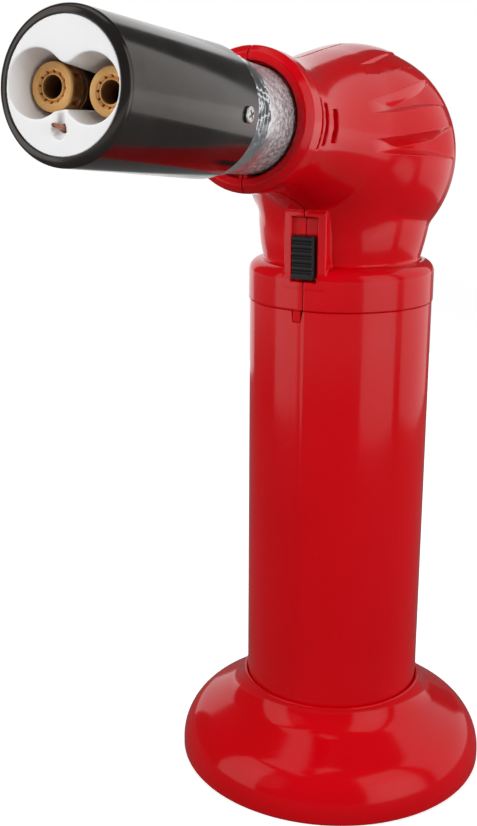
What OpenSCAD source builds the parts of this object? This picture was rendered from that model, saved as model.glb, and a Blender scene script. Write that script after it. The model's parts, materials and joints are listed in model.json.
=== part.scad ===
// Handheld gas torch on a flared stand. A fuel tank stands in a round sleeve, and a two-piece
// head carries the gas valve, the push-button igniter and a tilted barrel with twin burners.
// Millimetres. +Z is up, the origin is the middle of the stand's underside on the tank's axis,
// and the barrel points towards -Y. The head splits into halves on the plane x = 0.

/* [Stand] */
// Widest radius of the stand
stand_r = 42.6; // [42:0.1:44]
// Height of the stand, up to the seam round the tank sleeve
stand_h = 24.6; // [24:0.1:25]
// Wall of the hollow stand
stand_wall = 2.2; // [1.8:0.1:2.4]
// Number of ribs under the stand
rib_count = 8; // [6:1:12]

/* [Tank] */
// Outer radius of the tank sleeve
tube_r = 24; // [23.8:0.05:24]
// Wall of the tank sleeve
tube_wall = 1.4; // [1.2:0.1:1.4]
// Height of the seam between the sleeve and the head
seam_z = 132.2; // [132:0.1:132.4]
// Wall of the fuel tank
tank_wall = 1.8; // [1.5:0.1:2]

/* [Head] */
// Outer radius of the band at the head's lower edge
band_r = 24.4; // [24.3:0.05:24.5]
// Radius of the ball at the back of the head
bulb_r = 26.93; // [26.7:0.01:27.1]
// Wall of the head
head_wall = 2; // [1.8:0.1:2.2]
// Outer radius of the collar that holds the heat sleeve
collar_r = 15.7; // [15.6:0.1:16.2]

/* [Barrel] */
// Height at which the barrel's axis crosses the tank's axis
axis_z = 173.48; // [173.4:0.01:173.6]
// Upward tilt of the barrel, in degrees
barrel_tilt = 5.77; // [5.5:0.01:6]
// Outer radius of the barrel
barrel_r = 13.43; // [13.4:0.01:13.6]
// Distance of the barrel's front from the tank's axis
barrel_front = 122.6; // [122:0.1:123]
// Length of the barrel
barrel_len = 46.6; // [46:0.1:47]

/* [Burner] */
// Distance of each burner from the barrel's axis
burner_x = 6; // [5.9:0.05:6.1]
// Outer radius of a burner head
burner_r = 4.3; // [4.2:0.05:4.4]
// Turn of the burner pair about the barrel's axis, in degrees
burner_roll = 4; // [0:0.5:6]
// Windows round each burner head
window_count = 12; // [8:1:12]

/* [Controls] */
// Travel of the thumb button
button_travel = 4.5; // [4:0.1:4.5]
// Swing of the flame lever to each side, in degrees
flame_swing = 30; // [20:1:30]
// Travel of the lock slider
slider_travel = 4; // [3:0.1:4]
// Ribs on the lock slider
slider_ribs = 6; // [4:1:6]

/* [Hidden] */
$fn = 64;
eps = 0.01;
snug = 0.05;           // radial clearance of a turning or sliding fit
big = 200;             // longer than any cut needs

// Stand outline: a foot edge, a convex shoulder, a straight slope and a concave flare
foot_r = 1.3;
shoulder_r = 13;
shoulder_turn = 61;
slope_len = 7.4;
flare_r = 9;
shoulder_c = [stand_r - shoulder_r, 2.6];
flare_c = shoulder_c
    + (shoulder_r + flare_r) * [cos(shoulder_turn), sin(shoulder_turn)]
    + slope_len * [-sin(shoulder_turn), cos(shoulder_turn)];
socket_r = tube_r + snug;
socket_wall = 2.15;
ledge_z = 6;
ledge_r = 18;
tube_z = 8;

// Tank and its two valves
tank_r = tube_r - tube_wall - 0.2;
tank_floor = 2.5;
tank_top = 118;
lid_flange = 3;
lid_top = tank_top + lid_flange;
lid_plug_r = tank_r - tank_wall - 0.1;
seal_z = 114.5;
seal_r = 0.9;
fill_r = 4;
fill_mouth_z = 3;
fill_port_r = 1.6;
fill_port_len = 2.5;
valve_r = 4.2;
valve_chamber = [112, 126];
valve_top = 138.5;
stem_r = 1.5;
lift_collar_z = 146;
hose_port_z = 125.2;

// Head outline
band_top = 139.7;
neck_z = 143;
neck_r = 20.4;
neck_full_r = 22.5;
neck_full_z = 158;
bulb_c = [0, 3.17, 169.23];
horn_r = 14.6;
horn_root_r = 22.2;
horn_len = 43;
collar_back = 50.2;
collar_front = 56.2;
collar_bore = 12.7;
vents = [[47.4, 22, 0.8], [44.6, 18.5, 1], [39.6, 14.5, 1.4]];   // station, half angle, width
sleeve_r = 11.9;
bosses = [[10, 187, 13], [13, 143, 11]];   // y, z and the screw seat's depth
boss_r = 3;
screw_r = 1.2;

// Lock slider: its channel's floor is at channel_y, and a tongue holds it from inside
slider_half = 2.8;
slider_y = [-24.6, -22.6];
slider_z = 140.4;
slider_h = 10.6;
slider_rib_r = 0.8;
tongue_half = 1.3;
tongue_z = [143, 146];
catch_half = 2.6;
catch_y = [-18.1, -16.9];
channel_half = 3.35;
channel_y = -22.5;
channel_z = [139.6, 155.4];
slot_gap = 0.35;

// Flame lever: a ring round the valve's neck, and an arm at this azimuth
lever_azimuth = 130;
lever_z = 134.2;
lever_h = 3;
lever_ring_r = 6.4;
lever_knob_at = 27.2;
lever_knob_r = 2.3;
valve_neck_r = 3.6;

// Trigger linkage
pivot = [0, -8, 146];
pin_r = 1.2;
rod_z = 162.4;
rod_tip_r = 1.2;
arm_half = 1.3;
rod_tip_y = pivot[1] + arm_half + 0.3 + rod_tip_r;
button_size = [13.2, 17, 20];
button_z = 162;
button_back = 13.5;
plunger_z = 169.5;
piezo_y = [-14, 3];
plunger_cap_y = 12;

// Barrel and burner stations, measured along the barrel's axis
barrel_back = barrel_front - barrel_len;
sleeve_back = 44;
sleeve_front = barrel_back + 7;
manifold_s = [44, 54];
tube_s = [59.5, 109];
head_s = [106, barrel_front - 5.5];
ceramic_s = [108, barrel_front - 0.1];
lobe_x = 5.4;
lobe_r = [4.95, 5.75];
waist_half = [4, 3.2];
lip_r = 11.55;
lip_round = 1.15;
wall_r = 12.25;
bracket_s = barrel_back + 9;
electrode_u = -7.2;
screw_s = barrel_back + 4.3;
screw_seat = 0.1;
barrel_screw_r = 1.75;

red = [0.78, 0.04, 0.07];
brass = [0.85, 0.6, 0.25];
copper = [0.75, 0.42, 0.28];
black = [0.06, 0.06, 0.06];
steel = [0.75, 0.76, 0.78];

// ---- shared shapes ----

// Points of an arc, from angle a0 to a1
function arc(c, r, a0, a1, n = 8) =
    [for (i = [0:n]) let (a = a0 + (a1 - a0) * i / n) c + r * [cos(a), sin(a)]];

// Puts a shape on the barrel's axis: local Z runs forward, local Y is up
module on_barrel() {
    translate([0, 0, axis_z])
        rotate([90 - barrel_tilt, 0, 0])
            children();
}

module on_burner() {
    on_barrel()
        rotate([0, 0, -burner_roll])
            children();
}

module along_x(y, z, from_x, to_x, r) {
    translate([from_x, y, z])
        rotate([0, 90, 0])
            cylinder(r = r, h = to_x - from_x);
}

module along_y(x, z, from_y, to_y, r) {
    translate([x, to_y, z])
        rotate([90, 0, 0])
            cylinder(r = r, h = to_y - from_y);
}

module ring(outer, inner, z, h) {
    translate([0, 0, z])
        difference() {
            cylinder(r = outer, h = h);
            translate([0, 0, -eps])
                cylinder(r = inner, h = h + 2 * eps);
        }
}

// A round tube or wire swept along a list of points, with flat ends
function unit(v) = v / norm(v);
function path_dir(p, i) = unit(p[min(i + 1, len(p) - 1)] - p[max(i - 1, 0)]);
function side_dir(d) = unit(cross(d, abs(d[2]) > 0.9 ? [1, 0, 0] : [0, 0, 1]));

module sweep(p, r, sides = 8) {
    n = len(p);
    points = [for (i = [0:n - 1]) let (d = path_dir(p, i), a = side_dir(d), b = cross(d, a))
        for (k = [0:sides - 1]) p[i] + r * (cos(360 * k / sides) * a + sin(360 * k / sides) * b)];
    walls = [for (i = [0:n - 2]) for (k = [0:sides - 1]) let (m = (k + 1) % sides)
        each [[i * sides + k, i * sides + m, (i + 1) * sides + m],
              [i * sides + k, (i + 1) * sides + m, (i + 1) * sides + k]]];
    ends = [[for (k = [sides - 1:-1:0]) k], [for (k = [0:sides - 1]) (n - 1) * sides + k]];
    polyhedron(points = points, faces = concat(walls, ends), convexity = 6);
}

// A smooth curve through hand-placed points
function spline_at(a, b, c, d, t) =
    0.5 * (2 * b + (c - a) * t + (2 * a - 5 * b + 4 * c - d) * t * t
    + (3 * b - a - 3 * c + d) * t * t * t);
function smooth(p, steps = 4) = concat(
    [for (i = [0:len(p) - 2]) for (k = [0:steps - 1])
        spline_at(p[max(i - 1, 0)], p[i], p[i + 1], p[min(i + 2, len(p) - 1)], k / steps)],
    [p[len(p) - 1]]);

// A coil spring standing on z = 0
module coil(r, wire_r, h, turns, per_turn = 12) {
    rise = h - 2 * wire_r;
    n = turns * per_turn;
    sweep([for (i = [0:n]) [r * cos(360 * i / per_turn), r * sin(360 * i / per_turn),
        wire_r + rise * i / n]], wire_r, 6);
}

// A screw along +Z: a pan head that sits on z = 0 with a cross recess, and a shank below it
module pan_screw(shank_r, length, head_r, head_h) {
    difference() {
        union() {
            translate([0, 0, -length])
                cylinder(r = shank_r, h = length + eps);
            cylinder(r1 = head_r, r2 = head_r * 0.8, h = head_h);
        }
        for (a = [0, 90])
            rotate([0, 0, a])
                translate([-head_r * 0.55, -head_r * 0.12, head_h * 0.45])
                    cube([head_r * 1.1, head_r * 0.24, head_h]);
    }
}

// ---- stand and tank ----

// The stand's outline from the foot up, moved inwards by d
function stand_curve(d) = concat(
    arc(shoulder_c, shoulder_r - d, 0, shoulder_turn),
    arc(flare_c, flare_r + d, 180 + shoulder_turn, d > 0 ? 215 : 185));

module base_stand() {
    color(red) {
        rotate_extrude()
            difference() {
                polygon(concat([[0, 0]], arc([stand_r - foot_r, foot_r], foot_r, -90, 0),
                    stand_curve(0), [[0, stand_h]]));
                difference() {
                    polygon(concat([[0, -1], [stand_r - stand_wall, -1]],
                        stand_curve(stand_wall), [[0, 19]]));
                    translate([0, ledge_z])
                        square([socket_r + socket_wall, stand_h]);
                }
                translate([0, tube_z])
                    square([socket_r, stand_h]);
                square([ledge_r, stand_h]);
            }
        for (i = [0:rib_count - 1])
            rotate([0, 0, 360 * (i + 0.5) / rib_count])
                stand_rib();
    }
}

module stand_rib() {
    half = stand_wall / 2;
    rotate([90, 0, 0])
        translate([0, 0, -0.7])
            linear_extrude(1.4)
                polygon(concat([[socket_r + 1, ledge_z]],
                    arc(shoulder_c, shoulder_r - half, 17, shoulder_turn),
                    arc(flare_c, flare_r + half, 180 + shoulder_turn, 225, 3),
                    [[socket_r + 1, 18]]));
}

module body_tube() {
    color(red)
        difference() {
            ring(tube_r, tube_r - tube_wall, tube_z, seam_z - tube_z);
            translate([-2.9, -tube_r - 1, seam_z - 2.9])
                cube([2.3, 3, 4]);
        }
}

module fuel_tank() {
    color("whitesmoke")
        difference() {
            translate([0, 0, tube_z])
                cylinder(r = tank_r, h = tank_top - tube_z);
            translate([0, 0, tube_z + tank_floor])
                cylinder(r = tank_r - tank_wall, h = tank_top);
            cylinder(r = fill_r, h = 2 * tube_z);
        }
}

module tank_lid() {
    color("whitesmoke")
        difference() {
            union() {
                translate([0, 0, tank_top - 7])
                    cylinder(r = lid_plug_r, h = 7 + eps);
                translate([0, 0, tank_top])
                    cylinder(r = tank_r, h = lid_flange);
            }
            ring(tank_r, lid_plug_r - 2 * seal_r + 0.1, seal_z - 1, 2);
            cylinder(r = valve_r, h = big);
        }
}

module tank_seal() {
    color(black)
        translate([0, 0, seal_z])
            rotate_extrude()
                translate([lid_plug_r + 0.1 - seal_r, 0])
                    circle(r = seal_r);
}

module wick_tube() {
    color("ivory")
        ring(2.3, 1.5, 22, 86);
}

// ---- fill valve, in the tank's floor ----

module fill_valve_body() {
    color(brass)
        difference() {
            union() {
                translate([0, 0, fill_mouth_z])
                    cylinder(r = 3.2, h = 4);
                translate([0, 0, 6.3])
                    cylinder(r = 6.5, h = tube_z - 6.3, $fn = 6);
                translate([0, 0, 6.3])
                    cylinder(r = fill_r, h = 12.7);
            }
            translate([0, 0, fill_mouth_z - eps])
                cylinder(r = fill_port_r, h = fill_port_len + eps);
            cylinder(r = 1.2 + snug, h = 10);
            translate([0, 0, 9.5])
                cylinder(r = 2.6, h = 8.5);
            cylinder(r = 1.05, h = big);
        }
}

module fill_valve_stem() {
    color(steel) {
        translate([0, 0, 5.8])
            cylinder(r = 1.2, h = 4.6);
        translate([0, 0, 10.3])
            cylinder(r = 2.2, h = 1.5);
        translate([0, 0, 11.7])
            cylinder(r = 1, h = 2.3);
    }
}

module fill_valve_seal() {
    color(black)
        ring(2.2, 1.2, 9.5, 0.8);
}

module fill_valve_spring() {
    color(steel)
        translate([0, 0, 11.8])
            coil(1.75, 0.3, 6.2, 5);
}

// ---- outlet valve, in the tank's lid ----

module outlet_valve_body() {
    color(brass)
        difference() {
            union() {
                translate([0, 0, 108])
                    cylinder(r = valve_r, h = 15);
                translate([0, 0, lid_top])
                    cylinder(r = 6.5, h = 2.5, $fn = 6);
                translate([0, 0, 123])
                    cylinder(r = 4.4, h = 11);
                translate([0, 0, 134 - eps])
                    cylinder(r = valve_neck_r, h = valve_top - 134);
                translate([0, 0, 104])
                    cylinder(r = 1.5, h = 5);
                along_x(0, hose_port_z, 3, 9, 1.2);
            }
            cylinder(r = 0.8, h = valve_chamber[0] + eps);
            translate([0, 0, valve_chamber[0]])
                cylinder(r = 2.6, h = valve_chamber[1] - valve_chamber[0]);
            translate([0, 0, valve_chamber[1] - eps])
                cylinder(r = stem_r + snug, h = big);
            along_x(0, hose_port_z, 0, 10, 0.6);
        }
}

module valve_stem() {
    color(steel) {
        translate([0, 0, 113])
            cylinder(r = 2.4, h = 2);
        translate([0, 0, 114])
            cylinder(r = stem_r, h = 35);
        translate([0, 0, lift_collar_z])
            cylinder(r = 3.6, h = 1.5);
    }
}

module valve_seal() {
    color(black)
        translate([0, 0, valve_chamber[0]])
            cylinder(r = 2, h = 1);
}

module valve_spring() {
    color(steel)
        translate([0, 0, 115])
            coil(2.08, 0.3, valve_chamber[1] - 115, 7);
}

// Regulator ring on the valve's neck, with an arm out through the band's slot
module flame_lever() {
    color(black)
        rotate([0, 0, lever_azimuth])
            difference() {
                union() {
                    translate([0, 0, lever_z])
                        cylinder(r = lever_ring_r, h = lever_h);
                    translate([4, -1.5, lever_z + 0.5])
                        cube([lever_knob_at - 4, 3, lever_h - 1]);
                    translate([lever_knob_at, 0, lever_z])
                        cylinder(r = lever_knob_r, h = lever_h);
                }
                cylinder(r = valve_neck_r + snug, h = big);
            }
}

module lever_clip() {
    color(steel)
        ring(5.2, valve_neck_r, lever_z + lever_h + 0.2, 0.8);
}

// Bell crank: the rod pushes its upper arm, and its fork lifts the stem's collar
module gas_lever() {
    color(steel)
        difference() {
            union() {
                along_x(pivot[1], pivot[2], -4.5, 4.5, 2.8);
                translate([-2.5, pivot[1] - arm_half, pivot[2]])
                    cube([5, 2 * arm_half, 18.5]);
                for (side = [-1, 1])
                    translate([side * 3.2 - 1, 0, 0])
                        fork_arm();
            }
            along_x(pivot[1], pivot[2], -5, 5, pin_r + snug);
        }
}

module fork_arm() {
    along_x(0, lift_collar_z - 1.2, 0, 2, 1);
    translate([0, pivot[1], lift_collar_z - 2.2])
        cube([2, -pivot[1], 2]);
}

module lever_pin() {
    color(steel)
        along_x(pivot[1], pivot[2], -10, 10, pin_r);
}

// ---- head ----

// Radius of the horn at a distance s along the barrel's axis
function horn_at(s) =
    horn_r + (horn_root_r - horn_r) * pow(cos(90 * min(s, horn_len) / horn_len), 2);

// Radius of the neck at height z
function neck_at(z) =
    neck_full_r - (neck_full_r - neck_r) * pow((neck_full_z - z) / (neck_full_z - neck_z), 2);

module neck_solid(d) {
    shoulder = band_top + 3.3;
    rotate_extrude()
        polygon(concat(
            [[0, seam_z - (d > 0 ? 1 : 0)], [band_r - d, seam_z - (d > 0 ? 1 : 0)]],
            arc([band_r - 3.3, band_top - d], 3.3 - (d > 0 ? d : 0), 0, 75, 5),
            [for (i = [0:6]) let (z = shoulder + (neck_full_z - shoulder) * i / 6)
                [neck_at(z) - d, z]],
            [[neck_full_r - d, 166], [0, 166]]));
}

module horn_solid(d, front) {
    on_barrel()
        rotate_extrude()
            polygon(concat([[0, 0]],
                [for (i = [0:10]) let (s = horn_len * i / 10) [horn_at(s) - d, s]],
                [[horn_r + 0.3 - d, front], [0, front]]));
}

module head_outside() {
    neck_solid(0);
    translate(bulb_c)
        sphere(r = bulb_r, $fn = 96);
    horn_solid(0, collar_back);
    on_barrel()
        rotate_extrude()
            polygon([[0, collar_back - 1.2], [horn_r, collar_back - 1.2], [collar_r, collar_back],
                [collar_r, collar_front - 1.4], [collar_r - 0.8, collar_front - 0.4],
                [collar_bore, collar_front], [0, collar_front]]);
    intersection() {
        cylinder(r = band_r, h = big);
        translate([-5.5, -30, band_top - 1])
            cube([11, 12, 18]);
    }
}

module head_inside() {
    neck_solid(head_wall);
    translate(bulb_c)
        sphere(r = bulb_r - head_wall, $fn = 96);
    horn_solid(head_wall, collar_back);
    on_barrel()
        cylinder(r = collar_bore, h = big);
}

// Scoops on the side of the ball
module flute(turn) {
    scoop_r = 3.4;
    scoop_len = 19;
    translate(bulb_c)
        rotate([-barrel_tilt, 0, 0])
            rotate([0, -turn, 0])
                rotate([0, 0, -22])
                    translate([bulb_r + scoop_r - 1.2, scoop_len / 2, 0])
                        rotate([90, 0, 0])
                            cylinder(r = scoop_r, h = scoop_len);
}

module head_shell() {
    difference() {
        union() {
            difference() {
                head_outside();
                head_inside();
            }
            intersection() {
                head_outside();
                union() {
                    on_barrel()
                        ring(14, sleeve_r + 0.02, 47, 3.5);
                    for (b = bosses)
                        along_x(b[0], b[1], -25, 25, boss_r);
                    along_x(pivot[1], pivot[2], -25, 25, 2.8);
                }
            }
        }
        head_cuts();
    }
}

module head_cuts() {
    // Room for the lever between the two pin bosses
    along_x(pivot[1], pivot[2], -4.8, 4.8, 4);
    along_x(pivot[1], pivot[2], -10, 10, pin_r);
    // Slider channel and the slot for its tongue
    translate([-channel_half, -30, channel_z[0]])
        cube([2 * channel_half, channel_y + 30, channel_z[1] - channel_z[0]]);
    translate([-tongue_half - slot_gap, -30, tongue_z[0] - slot_gap])
        cube([2 * (tongue_half + slot_gap), 30 + catch_y[1],
            tongue_z[1] - tongue_z[0] + slider_travel + 2 * slot_gap]);
    // Slot for the flame lever
    rotate([0, 0, lever_azimuth - flame_swing - 5.5])
        rotate_extrude(angle = 2 * flame_swing + 11)
            translate([20, lever_z])
                square([6, lever_h]);
    // Opening for the thumb button
    translate([-button_size[0] / 2 - 0.3, 10, button_z - button_size[2] / 2 - 0.3])
        cube([button_size[0] + 0.6, 30, button_size[2] + 0.6]);
    // Seats and holes for the housing screws
    for (b = bosses) {
        along_x(b[0], b[1], -30, -b[2], 2.6);
        along_x(b[0], b[1], -b[2] - eps, 9, screw_r);
    }
    // Vent slits behind the collar
    for (side = [0, 180])
        for (vent = vents)
            on_barrel()
                rotate([0, 0, side - vent[1]])
                    rotate_extrude(angle = 2 * vent[1])
                        translate([horn_r - 0.8, vent[0]])
                            square([3, vent[2]]);
    for (turn = [6, 37, 62])
        for (side = [0, 1])
            mirror([side, 0, 0])
                flute(turn);
}

module housing_left() {
    color(red)
        intersection() {
            head_shell();
            translate([0, -big / 2, 100])
                cube([big, big, big]);
        }
}

module housing_right() {
    color(red) {
        intersection() {
            head_shell();
            translate([-big, -big / 2, 100])
                cube([big, big, big]);
        }
        intersection() {
            ring(tube_r - 0.1, tube_r - tube_wall + 0.1, seam_z - 2.8, 3.5);
            translate([-2.75, -30, seam_z - 5])
                cube([2, 10, 10]);
        }
    }
}

module housing_screws() {
    color(steel)
        for (b = bosses)
            translate([-b[2], b[0], b[1]])
                rotate([0, -90, 0])
                    pan_screw(screw_r, 8 + b[2], 2.2, 1.4);
}

module lock_slider() {
    first_rib = slider_z + slider_rib_r + 0.1;
    pitch = (slider_h - 2 * slider_rib_r - 0.2) / (slider_ribs - 1);
    color(black) {
        translate([-slider_half, slider_y[0], slider_z])
            cube([2 * slider_half, slider_y[1] - slider_y[0], slider_h]);
        for (i = [0:slider_ribs - 1])
            along_x(slider_y[0], first_rib + i * pitch, -slider_half, slider_half, slider_rib_r);
        translate([-tongue_half, slider_y[1] - 0.1, tongue_z[0]])
            cube([2 * tongue_half, catch_y[0] - slider_y[1] + 0.2, tongue_z[1] - tongue_z[0]]);
        translate([-catch_half, catch_y[0], tongue_z[0] - 0.4])
            cube([2 * catch_half, catch_y[1] - catch_y[0], tongue_z[1] - tongue_z[0] + 1]);
    }
}

// ---- igniter ----

module thumb_button() {
    w = button_size[0];
    h = button_size[2];
    low = button_z - h / 2;
    color(black) {
        difference() {
            intersection() {
                translate([-w / 2, button_back + 1, low])
                    cube([w, 30, h]);
                translate(bulb_c)
                    sphere(r = bulb_r + 2.6, $fn = 96);
            }
            translate([-w / 2 + 1.4, 0, low + 1.4])
                cube([w - 2.8, 22, h - 2.8]);
            for (i = [-3:3])
                along_x(33.2 - 0.07 * i * i, button_z + 2.4 * i, -4.8, 4.8, 1.9);
        }
        difference() {
            translate([-8, button_back + 1, low - 1.4])
                cube([16, 1.6, h + 2.8]);
            translate([-w / 2 + 1.4, 0, low + 1.4])
                cube([w - 2.8, 22, h - 2.8]);
        }
        along_y(0, plunger_z - 1.2, button_back, 23, 2.2);
    }
}

module push_rod() {
    color("dimgray") {
        along_x(rod_tip_y, rod_z, -1.6, 1.6, rod_tip_r);
        translate([-1.6, rod_tip_y, rod_z - rod_tip_r])
            cube([3.2, 22 - rod_tip_y, 2 * rod_tip_r]);
    }
}

module piezo_body() {
    color(black)
        difference() {
            translate([-4.5, piezo_y[0], 165])
                cube([9, piezo_y[1] - piezo_y[0], 9]);
            along_y(0, plunger_z, piezo_y[0] + 2.5, 20, 2.5 + snug);
        }
}

module piezo_plunger() {
    color("dimgray") {
        along_y(0, plunger_z, -6, plunger_cap_y + 1, 2.5);
        along_y(0, plunger_z, plunger_cap_y, button_back, 3.9);
    }
}

module piezo_spring() {
    color(steel)
        translate([0, plunger_cap_y, plunger_z])
            rotate([90, 0, 0])
                coil(3.15, 0.3, plunger_cap_y - piezo_y[1], 5);
}

igniter_route = [[2, -14.3, 171], [4, -24, 168.5], [4, -36, 168.6], [2.5, -48, 171], [0.8, -58, 173],
    [-0.4, -64.1, 172.8]];
ground_route = [[-2, -14.3, 169], [-4.6, -26, 172], [-5.2, -37, 176.6], [-5, -43.6, 178.1]];
hose_route = [[4.8, 0, 125.2], [8.4, 0.2, 125.3], [10.4, 1.5, 129], [10.8, 3.4, 137], [10.8, 4, 152],
    [10.6, 0, 163.5], [8.4, -12, 169.4], [4, -26, 174.5], [0.6, -36, 177.1], [0, -43.4, 177.9]];

module igniter_wire() {
    color(black)
        sweep(smooth(igniter_route), 0.8, 6);
}

module ground_wire() {
    color("dimgray")
        sweep(smooth(ground_route), 0.7, 6);
}

module igniter_electrode() {
    color(copper)
        on_burner()
            translate([0, electrode_u, 64])
                cylinder(r = 0.45, h = barrel_front + 1.6 - 64);
}

module electrode_insulator() {
    color("white")
        on_burner()
            translate([0, electrode_u, 66])
                difference() {
                    cylinder(r = 1.4, h = 42);
                    translate([0, 0, -1])
                        cylinder(r = 0.45, h = 50);
                }
}

// ---- gas path and burners ----

module gas_hose() {
    color("ivory")
        difference() {
            sweep(smooth(hose_route), 1.9, 8);
            along_x(0, hose_port_z, 4, 9.2, 1.25);
            on_burner()
                translate([0, 0, 39])
                    cylinder(r = 1.25, h = 10);
        }
}

module gas_manifold() {
    color(brass)
        on_burner()
            difference() {
                union() {
                    translate([-9, -4, manifold_s[0]])
                        cube([18, 8, manifold_s[1] - manifold_s[0]]);
                    translate([0, 0, 39.2])
                        cylinder(r = 1.2, h = 6);
                }
                translate([0, 0, 39])
                    cylinder(r = 0.7, h = 9);
                translate([-7.5, 0, 48])
                    rotate([0, 90, 0])
                        cylinder(r = 0.9, h = 15);
                for (side = [-1, 1])
                    translate([side * burner_x, 0, 48])
                        cylinder(r = 2.2, h = 10);
            }
}

module gas_jets() {
    color(brass)
        on_burner()
            for (side = [-1, 1])
                translate([side * burner_x, 0, 0])
                    difference() {
                        union() {
                            translate([0, 0, 49.5])
                                cylinder(r = 2.2, h = 5);
                            translate([0, 0, manifold_s[1]])
                                cylinder(r = 2.9, h = 2, $fn = 6);
                            translate([0, 0, 55.9])
                                cylinder(r1 = 1.6, r2 = 0.9, h = 2);
                        }
                        translate([0, 0, 49])
                            cylinder(r = 0.35, h = 10);
                    }
}

module mixing_tube(side) {
    color(brass)
        on_burner()
            translate([side * burner_x, 0, 0])
                difference() {
                    ring(3.2, 2.7, tube_s[0], tube_s[1] - tube_s[0]);
                    for (a = [0, 90])
                        translate([0, 0, tube_s[0] + 3.2])
                            rotate([0, 90, a])
                                translate([0, 0, -5])
                                    cylinder(r = 1.2, h = 10);
                }
}

module mixing_tube_left() {
    mixing_tube(1);
}

module mixing_tube_right() {
    mixing_tube(-1);
}

module burner_bracket() {
    color(steel)
        on_burner()
            difference() {
                translate([0, 0, bracket_s])
                    cylinder(r = wall_r - 0.05, h = 1.2);
                for (side = [-1, 1])
                    translate([side * burner_x, 0, bracket_s - 1])
                        cylinder(r = 3.2, h = 5);
                translate([0, electrode_u, bracket_s - 1])
                    cylinder(r = 1.4, h = 5);
                translate([0, 8, bracket_s - 1])
                    cylinder(r = 2, h = 5);
            }
}

module burner_head(side) {
    color(brass)
        on_burner()
            translate([side * burner_x, 0, 0])
                difference() {
                    translate([0, 0, head_s[0]])
                        cylinder(r = burner_r, h = head_s[1] - head_s[0]);
                    translate([0, 0, head_s[0] - 1])
                        cylinder(r = 3.2, h = 7);
                    translate([0, 0, head_s[0]])
                        cylinder(r = 2, h = 20);
                    for (i = [0:window_count - 1])
                        rotate([0, 0, 360 * i / window_count]) {
                            translate([3.2, -0.6, head_s[1] - 3.2])
                                cube([3, 1.2, 2]);
                            translate([2.4, -0.17, head_s[1] - 0.9])
                                cube([0.4, 0.34, 2]);
                        }
                }
}

module burner_head_left() {
    burner_head(1);
}

module burner_head_right() {
    burner_head(-1);
}

// White insert with a figure-of-eight mouth round the burners
module ceramic_nozzle() {
    face = ceramic_s[1];
    color("white")
        on_burner()
            difference() {
                translate([0, 0, ceramic_s[0]])
                    cylinder(r = lip_r - 0.05, h = face - ceramic_s[0]);
                for (side = [-1, 1])
                    translate([side * lobe_x, 0, ceramic_s[0] - 0.1])
                        cylinder(r1 = lobe_r[0], r2 = lobe_r[1], h = face - ceramic_s[0] + 0.2);
                translate([-waist_half[0], -waist_half[1], ceramic_s[0] - 1])
                    cube([2 * waist_half[0], 2 * waist_half[1], 20]);
                translate([0, electrode_u, ceramic_s[0] - 1])
                    cylinder(r = 0.8, h = 20);
                translate([0, -3, face])
                    rotate([90, 0, 0])
                        cylinder(r = 0.9, h = -3 - electrode_u);
                translate([0, electrode_u - 0.6, face + 0.6])
                    sphere(r = 1.7);
            }
}

module heat_sleeve() {
    color("silver")
        on_barrel()
            rotate_extrude()
                difference() {
                    union() {
                        translate([sleeve_r - 0.6, sleeve_back])
                            square([0.6, sleeve_front - sleeve_back]);
                        for (i = [0:3])
                            translate([sleeve_r - 0.3, barrel_back - 2 - 2.2 * i])
                                circle(r = 0.7, $fn = 24);
                    }
                    translate([0, sleeve_back - 1])
                        square([sleeve_r - 0.6, sleeve_front]);
                }
}

module barrel() {
    color([0.16, 0.15, 0.15])
        on_burner()
            difference() {
                rotate_extrude()
                    polygon(concat(
                        [[sleeve_r, barrel_back], [barrel_r - 0.4, barrel_back],
                         [barrel_r, barrel_back + 0.4]],
                        arc([barrel_r - lip_round, barrel_front - lip_round - 0.2], lip_round,
                            0, 66, 6),
                        [[lip_r + 0.2, barrel_front], [lip_r, barrel_front - 0.2],
                         [lip_r, barrel_front - 3],
                         [wall_r, barrel_front - 3.7], [wall_r, barrel_back + 8],
                         [sleeve_r, barrel_back + 7.6]]));
                for (side = [0, 180])
                    rotate([0, 0, side])
                        translate([0, 0, screw_s])
                            rotate([0, 90, 0]) {
                                cylinder(r = 1, h = 20);
                                translate([0, 0, barrel_r - screw_seat])
                                    cylinder(r = barrel_screw_r + snug, h = 20);
                            }
            }
}

module barrel_screws() {
    color(steel)
        on_burner()
            for (side = [0, 180])
                rotate([0, 0, side])
                    translate([barrel_r - screw_seat, 0, screw_s])
                        rotate([0, 90, 0])
                            pan_screw(1, barrel_r - screw_seat - sleeve_r, barrel_screw_r, 0.8);
}

base_stand();
body_tube();
fuel_tank();
tank_lid();
tank_seal();
wick_tube();
fill_valve_body();
fill_valve_stem();
fill_valve_seal();
fill_valve_spring();
outlet_valve_body();
valve_stem();
valve_seal();
valve_spring();
flame_lever();
lever_clip();
gas_lever();
lever_pin();
housing_left();
housing_right();
housing_screws();
lock_slider();
thumb_button();
push_rod();
piezo_body();
piezo_plunger();
piezo_spring();
igniter_wire();
ground_wire();
igniter_electrode();
electrode_insulator();
gas_hose();
gas_manifold();
gas_jets();
mixing_tube_left();
mixing_tube_right();
burner_bracket();
burner_head_left();
burner_head_right();
ceramic_nozzle();
heat_sleeve();
barrel();
barrel_screws();
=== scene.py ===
"""Looks of a hand-held gas torch on a flared stand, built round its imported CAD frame.

Shapes are worked in millimetres and written to Blender in metres. Rounded and blended pieces are
distance fields turned into meshes; plain turned pieces are lathed outlines.
"""
import json
import math

import bpy
import numpy as np
import openvdb
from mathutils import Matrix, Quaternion, Vector


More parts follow.
